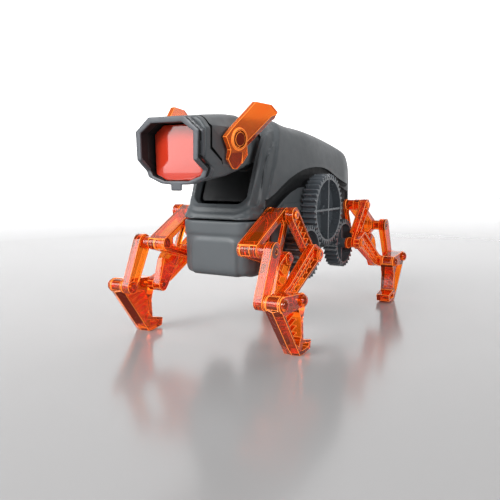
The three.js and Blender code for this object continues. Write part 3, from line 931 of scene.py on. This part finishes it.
VISOR_OUTER = [
    (12.6, 141.4), (22.4, 133.4), (21.6, 116.5), (22.2, 111.5), (20.4, 107.2), (11, 103.4),
    (3.7, 102.8),
]
VISOR_INNER = [(11, 138), (18.9, 132.6), (18.5, 117), (19.1, 111.3), (17, 107.8), (8.5, 104.9)]
HEAD_SIDE = [
    (NOSE + 3, 141.2), (NOSE + 3, 117.6), (NOSE + JOG + 3, 111.6), (NOSE + JOG + 3, 103.0),
    (-106, 107.4), (-86, 112.6), (-81, 117), (-77.5, 124), (-77.2, 138), (-80.5, 144.8), (-84, 146),
    (-97, 145.6), (-115, 143.9),
]
HEAD_FRONT = [(12.6, 147.5), (22.3, 135.0), (21.9, 116), (20.3, 107), (10.5, 101.5)]

# The sunk cheek and the thin groove in front of it, as (y, z) outlines.
CHEEK_FACE = 20.9
CHEEK = [(-124.8, 138.6), (-124.8, 124.2), (-112.8, 117), (-111.8, 114.7), (-76, 114.7), (-76, 138.6)]
HEAD_GROOVE = [
    (-126.3, 150), (-126.3, 123.3), (-114.3, 116.4), (-113.4, 114.7), (-111.5, 114.7), (-112.2, 117.7),
    (-122.4, 124.6), (-122.4, 136), (-124.5, 138), (-124.5, 150),
]
GROOVE_DEPTH = 2.6
# What is cut from the ledge under the cheek, as (x, z) on the left side, and its Y range.
LEDGE_CUT = [(20.7, 115.0), (24, 115.0), (24, 111.6)]
LEDGE_RANGE = (-112.2, -76)


def visor_side(front, back):
    """The visor's stepped side outline between two depths behind its face."""
    return [
        (NOSE + front, 146), (NOSE + front, 117), (NOSE + JOG + front, 111), (NOSE + JOG + front, 95),
        (NOSE + JOG + back, 95), (NOSE + JOG + back, 111.8), (NOSE + back, 117.8), (NOSE + back, 146),
    ]


def head_field(x, y, z):
    """The head with its root behind, the neck down into the collar, and the hollow for the lens."""
    profile = polygon_field(HEAD_SIDE, y, z)
    front = polygon_field(mirrored(HEAD_FRONT), x, z)
    form = smooth_max(profile, front, 3.5)
    root = smooth_max(rounded_box_field(x, z, 16, 112, 134, 4), np.maximum(y + 58, -80 - y), 1.0)
    neck = rounded_box_field(x, leaning(y, z), 17.5, 7.4, 56, 5)
    neck_ends = np.maximum(9.5 - behind_collar(y, z), y + 56)
    neck = smooth_max(neck, np.maximum(neck_ends, 91 - z), 1.0)
    solid = smooth_min(smooth_min(form, root, 2), neck, 2)
    ring = polygon_field(mirrored(VISOR_INNER), x, z)
    cavity = np.maximum(np.maximum(ring - 0.5, y + 119), 104 - z)
    return smooth_max(solid, -cavity, 0.6)


def build_head():
    x, y, z = axes((-26, -141, 88), (26, -46, 150), HEAD_STEP)
    visor = polygon_field(visor_side(-4, BEZEL_DEPTH + 0.15), y, z)
    shell = field_object("head_skin", np.maximum(head_field(x, y, z), -visor), x, y, z)
    for side in (-1, 1):
        cut(shell, slab(CHEEK, sided(side, CHEEK_FACE, 30)))
        cut(shell, front_slab([(side * x, z) for x, z in LEDGE_CUT], LEDGE_RANGE))
    groove = slab(HEAD_GROOVE, ACROSS, "groove")
    cut(groove, front_slab(inset_outline(mirrored(HEAD_FRONT), GROOVE_DEPTH), (-140, -60)))
    cut(shell, groove)
    for side in (-1, 1):
        join(shell, ear_peg(side))
    shade(shell, 42)
    finish_piece(shell, SHELL, "chassis", "shell_plastic", "head_shell")
    # Painted shade: near black in the lens hollow, the groove, the neck and round the ear pegs.
    paint(shell, PAINTED_SHADE_AND_SWITCH_BLACK, painted_shade_on_head)
    build_bezel()
    build_lens()


def painted_shade_on_head(x, y, z):
    """Picks the faces that get painted shade: the lens hollow, the groove, the neck, and round the pegs.
    """
    inside = (y < -118) & (polygon_field(mirrored(VISOR_INNER), x, z) < 1.2)
    front = polygon_field(mirrored(HEAD_FRONT), x, z)
    near = polygon_field(HEAD_GROOVE, y, z)
    walls = (near < 0.12) & (front < -0.45)
    floor = (near < 2.5) & (np.abs(front + GROOVE_DEPTH) < 0.3)
    neck = (y > -100) & (z < 106.6 + (y + 106) * 0.26)
    from_pegs = np.hypot(y - EAR_PIVOT.y + 1.4, z - EAR_PIVOT.z + 0.5)
    return inside | walls | floor | neck | ((from_pegs < 6.8) & (np.abs(x) > 22.4))


def build_bezel():
    """The visor frame: a light face ring, a groove behind it, and its stepped side band."""
    x, y, z = axes((-25, -141, 97), (25, -118, 145), 0.55)
    outer = polygon_field(mirrored(VISOR_OUTER), x, z)
    inner = polygon_field(mirrored(VISOR_INNER), x, z)
    band = polygon_field(visor_side(0, BEZEL_DEPTH), y, z)
    behind = polygon_field(visor_side(-30, 0), y, z)
    tab = rounded_box_field(x, z, 3.8, 99.3, 106, 0.6)
    tab = np.maximum(tab, y - (NOSE + JOG + 3.6))
    outline = np.minimum(outer, tab)
    groove = 1.9 * step_up(behind, 0.9, 0.6) * (1 - step_up(behind, 3.9, 0.6))
    front_edge = polygon_field(visor_side(0, 30), y, z)
    body = np.maximum(smooth_max(outline + groove, front_edge, 0.45), band)
    bezel = field_object("visor_frame", smooth_max(body, -inner, 0.4), x, y, z)
    shade(bezel, 42)
    finish_piece(bezel, BEZEL, "chassis", "shell_plastic", "visor_bezel")
    # Painted shade: near black inside the ring and in its groove.
    paint(bezel, PAINTED_SHADE_AND_SWITCH_BLACK, painted_shade_on_bezel)


def painted_shade_on_bezel(x, y, z):
    """Picks the faces that get painted shade: inside the ring and in the groove."""
    depth = polygon_field(visor_side(-30, 0), y, z)
    inside = (polygon_field(mirrored(VISOR_INNER), x, z) < 0.6) & (depth > 0.9)
    grooved = (polygon_field(mirrored(VISOR_OUTER), x, z) < -0.55) & (depth > 1.1) & (depth < 4.3)
    return inside | grooved


def build_lens():
    """The lens: a shield bowed forward across its width."""
    outline = [(10.7, 137.6), (18.5, 132.4), (18.1, 117), (17.6, 108.9), (8.3, 105.2)]
    x, y, z = axes((-21, -131, 103), (21, -120, 140), 0.7)
    shape = polygon_field(mirrored(outline), x, z)
    face = -127.6 + (x / 17.5) ** 2 * 1.6
    shield = smooth_max(shape, np.maximum(face - y, y + 124.2), 0.35)
    thing = field_object("visor_shield", shield, x, y, z)
    shade(thing, 42)
    finish_piece(thing, LENS, "chassis", "lens", "visor_lens")


# ------------------------------------------------------------------ ears

EAR_PIVOT = Vector((27.8, -104.3, 129.5))
EAR_AXIS = Vector((0.977, -0.193, -0.083)).normalized()
EAR_THICKNESS = 3.0
EAR_BEVEL = 0.24
HUB_GROOVE = 5.2
EAR_OUTLINE = [
    (13.3, 22.7), (28.1, 22), (34.5, 18), (34.3, 13.7), (30.8, 11.9), (9.4, -4.5), (8.7, -9.1),
    (1.4, -17.8), (-1.4, -17.8), (-7.3, -12), (-6.5, -6.5), (-11, 1), (-6.6, 5.6),
]
# Where the front face stops along the bevelled lower margin.
EAR_MARGIN = [(33.2, 16.6), (28.4, 15.0), (7.0, -1.4)]


def ear_matrix(side):
    """From (depth, along, up) about the ear's pivot to the model's own frame."""
    axis = Vector((side * EAR_AXIS.x, EAR_AXIS.y, EAR_AXIS.z))
    up = (Vector((0, 0, 1)) - axis * axis.z).normalized()
    along = up.cross(axis * side)
    rows = Matrix((axis, along, up)).transposed().to_4x4()
    rows.translation = Vector((side * EAR_PIVOT.x, EAR_PIVOT.y, EAR_PIVOT.z))
    return rows


def stand_ear(thing, side):
    """Moves a mesh drawn about the origin to the ear's place."""
    matrix = ear_matrix(side)
    matrix.translation = (matrix.translation + Vector((0, SHIFT, 0))) * MM
    origin = Matrix.Translation((0, -SHIFT * MM, 0))
    thing.data.transform(matrix @ origin)
    return face_outwards(thing)


def ear_peg(side):
    """The head's peg: a collar against the head and a journal inside the ear's hub."""
    profile = [(-10, 6), (-3.5, 6), (-3.3, 5.8), (-3.3, 3.2), (-1.1, 3.2), (-0.9, 3.0)]
    return stand_ear(turned((0, 0), profile, "peg", 24), side)


def build_ear(side, node):
    """A clear blade with a bevelled lower margin, a hub with a raised ring, and a short tail."""
    front = list(EAR_OUTLINE)
    front[3:6] = EAR_MARGIN
    depths = ((-EAR_THICKNESS, EAR_OUTLINE), (-2.4, EAR_OUTLINE), (0.0, front))
    blade = loft(f"{node}_blade", [[(depth, y, z) for y, z in outline] for depth, outline in depths])
    tail = loft("tail_bevel", [
        [(0.01, -12, -9), (3, -12, -9), (3, -9, -22), (-3.6, -9, -22)],
        [(0.01, 3.5, -7.5), (3, 3.5, -7.5), (3, 5, -22), (-1.2, 5, -22)],
    ])
    cut(blade, tail)
    join(blade, turned((0, 0), [(-2.9, 6.6), (0.7, 6.6), (1.1, 6.1)], "hub", 32))
    groove = cut(rod((0, 0), HUB_GROOVE, (-1.6, 3), 32), rod((0, 0), 4.1, (-4, 4), 32))
    cut(blade, groove)
    cut(blade, rod((0, 0), 3.55, (-4, -0.7), 24))
    stand_ear(blade, side)
    bevel_edges(blade, EAR_BEVEL)
    blade.data.shade_smooth()
    weigh_normals(blade)
    finish_piece(blade, EAR_ORANGE, node, "orange_plastic", node)
    tint_ear(blade, side)


def tint_ear(blade, side):
    """Gives the ear's hub painted shade in deep maroon, and its slanted margins the clearer orange."""
    blade.data.materials.append(PAINTED_SHADE_ORANGE)
    blade.data.materials.append(ORANGE)
    pivot_point = Vector((side * EAR_PIVOT.x, EAR_PIVOT.y + SHIFT, EAR_PIVOT.z))
    axis = Vector((side * EAR_AXIS.x, EAR_AXIS.y, EAR_AXIS.z))
    corners = [vertex.co / MM - pivot_point for vertex in blade.data.vertices]
    for face in blade.data.polygons:
        if face.material_index:
            continue
        reach = max(corners[i].cross(axis).length for i in face.vertices)
        height = (face.center / MM - pivot_point).dot(axis)
        # The hub's faces get the painted shade.
        if reach < HUB_GROOVE + 0.1:
            face.material_index = 2
        elif face.normal.dot(axis) > 0.5 and height < -0.25:
            face.material_index = 3


# ------------------------------------------------------------------ legs

# The front left leg is drawn, and the other three are its mirror copies.
CRANK_PIN = (CRANK[0] - 8.3, CRANK[1])
SHOULDER = (-67.5, 83.0)
ELBOW = (-103.0, 63.7)
PIN = 1.6
BORE = 1.85
LOOSE_BORE = 2.6
LEG_BEVEL = 0.22
CRANK_BEVEL = 0.2
RIB = 0.8
# The X ranges of the leg's plates, from the body outwards.
TRIANGLE_SPAN = (27.7, 41.0)
ROCKER_SPAN = (41.3, 47)
UPPER_ROD_SPAN = (42, 47.4)
CRANK_SPAN = (43.3, 44.8)
LINK_SPAN = (46.8, 52.5)
LOWER_ROD_SPAN = (47.7, 52.4)
FOOT_SPAN = (53.0, 64.0)


def inset_outline(outline, amount):
    """Moves a convex outline's points towards its inside by about the same distance."""
    count = len(outline)
    area = sum(
        outline[i][0] * outline[(i + 1) % count][1] - outline[(i + 1) % count][0] * outline[i][1]
        for i in range(count)
    )
    turn = 1 if area > 0 else -1
    result = []
    for i in range(count):
        a, p, b = outline[i - 1], outline[i], outline[(i + 1) % count]
        before = Vector((p[0] - a[0], p[1] - a[1])).normalized()
        after = Vector((b[0] - p[0], b[1] - p[1])).normalized()
        normal = Vector((-(before.y + after.y), before.x + after.x))
        if normal.length < 1e-6:
            normal = Vector((-before.y, before.x))
        normal = normal.normalized() * turn
        lean = max(0.35, normal.dot(Vector((-after.y, after.x)) * turn))
        result.append((p[0] + normal.x * amount / lean, p[1] + normal.y * amount / lean))
    return result


def channel(name, outline, x_range, open_side, wall, floor, hubs, ribs=()):
    """A bar with a trough in one face, hubs standing in the trough, and thin cross ribs."""
    low, high = x_range
    body = slab(outline, x_range, name)
    if open_side > 0:
        trough_range = (low + floor, high + 1)
        hub_range = (low + floor / 2, high)
        rib_range = (low + floor / 2, high - 1.1)
    else:
        trough_range = (low - 1, high - floor)
        hub_range = (low, high - floor / 2)
        rib_range = (low + 1.1, high - floor / 2)
    cut(body, slab(inset_outline(outline, wall), trough_range, "trough"))
    for centre, radius in hubs:
        join(body, rod(centre, radius, hub_range, 24))
    for rib in ribs:
        join(body, slab(rib, rib_range, "rib"))
    return body


def rib_between(a, b, share, half_width):
    """A thin rib across the line from a to b, at a share of its length."""
    along = Vector((b[0] - a[0], b[1] - a[1])).normalized()
    across = Vector((-along.y, along.x)) * half_width
    step = along * RIB / 2
    centre = Vector((a[0] + (b[0] - a[0]) * share, a[1] + (b[1] - a[1]) * share))
    corners = (-across - step, -across + step, across + step, across - step)
    return [(centre.x + c.x, centre.y + c.y) for c in corners]


def bored(body, centres, radius=BORE):
    """Cuts round holes right through a leg part."""
    return cut(body, *[rod(centre, radius, (20, 70), 24) for centre in centres])


def make_crank():
    arm = slab(link_outline(CRANK, 4.2, CRANK_PIN, 3.4), CRANK_SPAN, "crank")
    head = [(43.4, PIN), (52.7, PIN), (52.71, 3.4), (53.4, 3.4), (54.0, 2.6)]
    return join(arm, turned(CRANK_PIN, head, "crank_pin", 24))


def make_upper_triangle():
    """A box arm: two window plates, a wide top web, a lower web, and barrels at its pivots."""
    inner, outer = TRIANGLE_SPAN
    rim = [(-77.5, 51.8), (-63.4, 81.4), (-69.4, 87), (-106.4, 67.2), (-105.2, 59.9)]
    window = [(-80.2, 57.4), (-71.2, 76.6), (-73.6, 80), (-97.4, 67.2), (-97.4, 62.2)]
    body = slab(rim, (inner, inner + 2), "upper_triangle")
    top_web = [(-69.4, 87), (-106.4, 67.2), (-105.6, 65.4), (-68.6, 85.2)]
    join(body, slab(top_web, (inner, outer)))
    join(body, slab(rim, (outer - 2, outer)))
    cut(body, slab(window, (inner - 1, outer + 1)))
    lower_web = [(-105.4, 60.2), (-77.4, 51.9), (-76.8, 53.8), (-104.8, 62.1)]
    join(body, slab(lower_web, (inner + 0.5, outer - 0.5)))
    barrel = [
        (inner, 4.5), (inner + 1.6, 4.5), (inner + 1.8, 4.1), (outer - 5, 4.1), (outer - 4.8, 4.5),
        (outer, 4.5),
    ]
    for corner in (HIP, SHOULDER, ELBOW):
        join(body, turned(corner, barrel, "barrel", 28))
    shoulder_pin = [(outer - 1, PIN), (47.8, PIN), (47.81, 2.6), (48.5, 2.6), (48.9, 2.0)]
    join(body, turned(SHOULDER, shoulder_pin, "shoulder_pin", 24))
    elbow_pin = [(outer - 1, PIN), (52.3, PIN), (52.9, 1.1)]
    join(body, turned(ELBOW, elbow_pin, "elbow_pin", 24))
    return bored(body, [HIP])


ROCKER_OUTLINE = [
    (-92.0, 29.2), (-95.3, 31.6), (-95.8, 34.5), (-90.2, 51.0), (-87.6, 54.4), (-79.0, 59.2),
    (-75.6, 60.3), (-72.2, 58.8), (-71.0, 55.2), (-72.4, 52.0), (-86.8, 31.8), (-89.2, 29.4),
]


def make_lower_rocker():
    hubs = [(HIP, 3.9), (KNEE, 3.9)]
    ribs = [rib_between(KNEE, HIP, 0.38, 5.0), rib_between(KNEE, HIP, 0.62, 5.5)]
    body = channel("lower_rocker", ROCKER_OUTLINE, ROCKER_SPAN, 1, 1.4, 1.5, hubs, ribs)
    return bored(body, [HIP, KNEE])


def make_upper_rod():
    outline = link_outline(CRANK_PIN, 4.4, SHOULDER, 4.8)
    ribs = [rib_between(CRANK_PIN, SHOULDER, share, 3.4) for share in (0.3, 0.45, 0.6, 0.75)]
    hubs = [(CRANK_PIN, 3.9), (SHOULDER, 3.6)]
    body = channel("upper_rod", outline, UPPER_ROD_SPAN, 1, 1.2, 1.6, hubs, ribs)
    room_for_crank = rod(CRANK_PIN, 7.5, (UPPER_ROD_SPAN[0] - 1, CRANK_SPAN[1] + 0.3))
    cut(body, room_for_crank)
    return bored(bored(body, [CRANK_PIN], LOOSE_BORE), [SHOULDER])


LOWER_ROD_OUTLINE = [
    (-92.8, 29.4), (-95.6, 32.6), (-95.2, 36.2), (-92.6, 38.2), (-85, 40.6), (-49.6, 62.4),
    (-46.6, 62.4), (-36.0, 57.4), (-35.2, 54.6), (-36.2, 51.4), (-39, 49.6), (-42, 49.8),
    (-74, 33.6), (-88.6, 29.6),
]


def make_lower_rod():
    """A long bar with a trough, a spine along the trough's floor, and ribs across it."""
    hubs = [(CRANK_PIN, 4.2), (KNEE, 3.8)]
    body = channel("lower_rod", LOWER_ROD_OUTLINE, LOWER_ROD_SPAN, 1, 1.7, 1.3, hubs)
    join(body, slab([(-84, 35.2), (-47.5, 56.6), (-47.0, 55.4), (-83.4, 34)], (48.4, 51.2)))
    for share in (0.3, 0.42, 0.54, 0.66, 0.78):
        rib = slab(rib_between(KNEE, CRANK_PIN, share, 5.6), (48.4, 50.6), "rib")
        join(body, keep(rib, slab(inset_outline(LOWER_ROD_OUTLINE, 0.8), (47, 53))))
    return bored(bored(body, [CRANK_PIN], LOOSE_BORE), [KNEE])


def make_outer_link():
    outline = link_outline(ELBOW, 5.7, ANKLE, 4.7)
    hubs = [(ELBOW, 4.0), (ANKLE, 3.6)]
    body = channel("outer_link", outline, LINK_SPAN, -1, 1.5, 2.0, hubs)
    join(body, rod(ELBOW, 4.1, (41.3, 48)))
    return bored(body, [ELBOW, ANKLE])


def make_foot():
    """A hollow shank with a creased front, ankle and knee barrels, a ribbed pocket and a toe."""
    inner, outer = FOOT_SPAN
    front_top, front_low, sole = (-120.6, 31.5), (-101, 6), (-95, 0)
    rest = [
        (-89, 0), (-79.5, 1.2), (-78.4, 6.7), (-89.5, 9.3), (-90.3, 22), (-87, 31.5), (-91.2, 38),
        (-114.5, 40),
    ]
    crease_x = inner + 0.56 * (outer - inner)
    rings = []
    for x, back in ((inner, 2.0), (crease_x, 0.0), (outer, 2.0)):
        front = [(y + back * 0.79, z + back * 0.61) for y, z in (front_top, front_low)]
        tip = [(sole[0] + back * 0.6, sole[1])]
        rings.append([(x, y, z) for y, z in front + tip + rest])
    body = loft("foot", rings)
    pocket = [(-113.6, 28.8), (-99.4, 8.6), (-95.6, 6.2), (-92.6, 11.4), (-93.2, 23.5), (-96.4, 29.4)]
    cut(body, slab(pocket, (inner + 2.2, outer + 1)))
    rib_shape = [(0, 0), (13, 4.4), (12.8, 5.2), (0, 0.9)]
    for share in (0.2, 0.36, 0.52, 0.68, 0.84):
        start = Vector((-113.6, 28.8)).lerp(Vector((-97.4, 7.2)), share)
        rib = slab([(start.x + y, start.y + z) for y, z in rib_shape], (inner + 1.6, outer - 3.2))
        join(body, keep(rib, slab(inset_outline(pocket, -0.6), FOOT_SPAN)))
    toe_pocket = [(-91, 2.6), (-82, 3.0), (-81.2, 5.2), (-90.4, 7.0)]
    cut(body, slab(toe_pocket, (inner + 3, outer + 1)))
    barrel = [
        (inner, 4.3), (inner + 0.3, 4.7), (inner + 1.5, 4.7), (inner + 1.8, 4.2),
        (outer - 1.8, 4.2), (outer - 1.5, 4.7), (outer - 0.3, 4.7), (outer, 4.3),
    ]
    for centre in (KNEE, ANKLE):
        join(body, turned(centre, barrel, "barrel", 28))
    return bored(body, [KNEE, ANKLE])


def make_knob_pin(centre, inner_x):
    """A pin with a small inner head and a domed knob outside."""
    profile = [
        (inner_x, 2.2), (inner_x + 0.25, 2.55), (inner_x + 0.7, 2.55), (inner_x + 0.71, PIN),
        (64.3, PIN), (64.31, 3.7),
    ]
    for i in range(1, 8):
        turn = i / 7 * math.radians(84)
        profile.append((64.9 + 1.9 * math.sin(turn), 0.5 + 3.3 * math.cos(turn)))
    return turned(centre, profile, "knob_pin", 28)


LEG_MAKERS = {
    "crank": make_crank,
    "upper_triangle": make_upper_triangle,
    "lower_rocker": make_lower_rocker,
    "upper_rod": make_upper_rod,
    "lower_rod": make_lower_rod,
    "outer_link": make_outer_link,
    "foot": make_foot,
    "knee_pin": lambda: make_knob_pin(KNEE, 40.4),
    "ankle_pin": lambda: make_knob_pin(ANKLE, 45.6),
}
UNBEVELLED = ("knee_pin", "ankle_pin")


def paint_shade_on_facet(foot):
    """Paints shade on the inner facet of a foot's creased front, in deep maroon."""
    foot.data.materials.append(PAINTED_SHADE_ORANGE)
    for face in foot.data.polygons:
        x, y, z = face.center / MM
        forward = abs(y - SHIFT)
        on_front = 4 < z < 34 and forward > 101 + (z - 6) * 0.62 and face.area > 20 * MM * MM
        if on_front and abs(x) < 58.9 and abs(face.normal.y) > 0.5:
            face.material_index = 2


def leg_body(end, side, part):
    """The CAD body that a leg's part rides on."""
    if part == "crank":
        return f"{end}_cranks"
    carrier = {"knee_pin": "lower_rocker", "ankle_pin": "outer_link"}.get(part, part)
    return f"{end}_{side}_{carrier}"


def build_legs():
    for part, maker in LEG_MAKERS.items():
        first = maker()
        bevelled = part not in UNBEVELLED
        if bevelled:
            bevel_edges(first, CRANK_BEVEL if part == "crank" else LEG_BEVEL)
        first.data.shade_smooth()
        for end in ("front", "rear"):
            for side in ("left", "right"):
                node = f"{end}_{side}_{part}"
                piece = mirror_copy(first, f"{node}_moulding", side == "right", end == "rear")
                if bevelled:
                    weigh_normals(piece)
                else:
                    piece.data.set_sharp_from_angle(angle=math.radians(35))
                finish_piece(piece, ORANGE, leg_body(end, side, part), "orange_plastic", node)
                if part == "foot":
                    paint_shade_on_facet(piece)
        discard(first)


# ------------------------------------------------------------------ carried CAD nodes

def dress_node(name, material, bevel):
    """Keeps a CAD node's shape, rounds its edges with modifiers, and gives it a material."""
    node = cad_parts[name]
    node.data.materials.clear()
    node.data.materials.append(material)
    weld = node.modifiers.new("weld", "WELD")
    weld.merge_threshold = WELD_DISTANCE
    modifier = node.modifiers.new("bevel", "BEVEL")
    modifier.width = bevel * MM
    modifier.segments = 2
    modifier.limit_method = "ANGLE"
    modifier.angle_limit = math.radians(32)
    node.data.shade_smooth()
    weigh_normals(node)


def dress_nodes():
    for side in ("left", "right"):
        dress_node(f"{side}_big_gear", GEAR, 0.16)
        for end in ("front", "rear"):
            dress_node(f"{end}_{side}_crank_gear", GEAR, 0.16)
    dress_node("main_axle", GEAR, 0.1)
    dress_node("motor_pinion", GEAR, 0.1)
    dress_node("battery_door", SHELL, 0.2)
    dress_node("power_switch", PAINTED_SHADE_AND_SWITCH_BLACK, 0.2)
    dress_node("battery_cell", BATTERY, 0.3)
    for name in ("front_hip_shaft", "rear_hip_shaft"):
        dress_node(name, ORANGE, 0.2)
    for name in ("motor", "front_crank_axle", "rear_crank_axle"):
        dress_node(name, STEEL, 0.15)


# ------------------------------------------------------------------ the scene

make_camera()
make_lights()
make_floor()
make_backdrop()
build_body()
build_head()
build_ear(1, "left_ear")
build_ear(-1, "right_ear")
build_legs()
dress_nodes()

bpy.context.view_layer.update()
